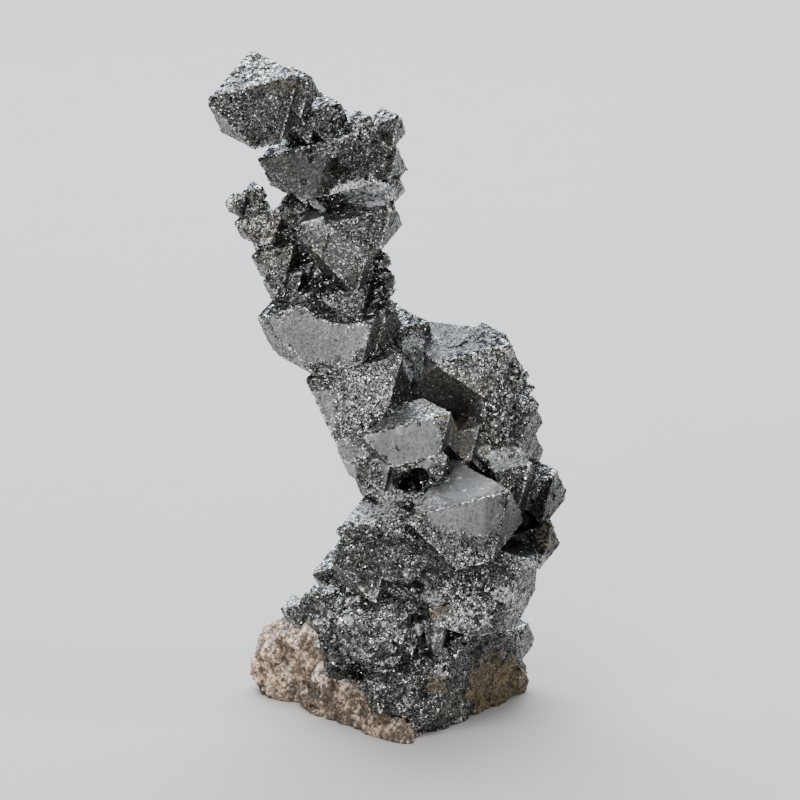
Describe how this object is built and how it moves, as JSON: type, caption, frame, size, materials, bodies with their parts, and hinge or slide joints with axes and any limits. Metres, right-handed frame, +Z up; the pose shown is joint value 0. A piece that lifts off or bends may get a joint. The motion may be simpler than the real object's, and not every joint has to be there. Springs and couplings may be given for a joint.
{
  "type": "mineral specimen",
  "caption": "Leaning column of steel-grey hematite octahedra, pseudomorphs after magnetite, grown together on a wedge of pinkish rock.",
  "frame": {"origin": "on the flat base, under the lower half of the column", "axes": "+Z up, -Y toward the viewer of the picture, +X to the right of the picture"},
  "size_m": [0.0442, 0.032, 0.0847],
  "materials": {
    "hematite": "steel-grey, half metallic; smooth satin faces beside sparkling druse",
    "rock": "matt, granular, pinkish tan"
  },
  "bodies": {
    "root": {"hematite_crystals": "hematite", "rock_matrix": "rock"}
  },
  "joints": []
}
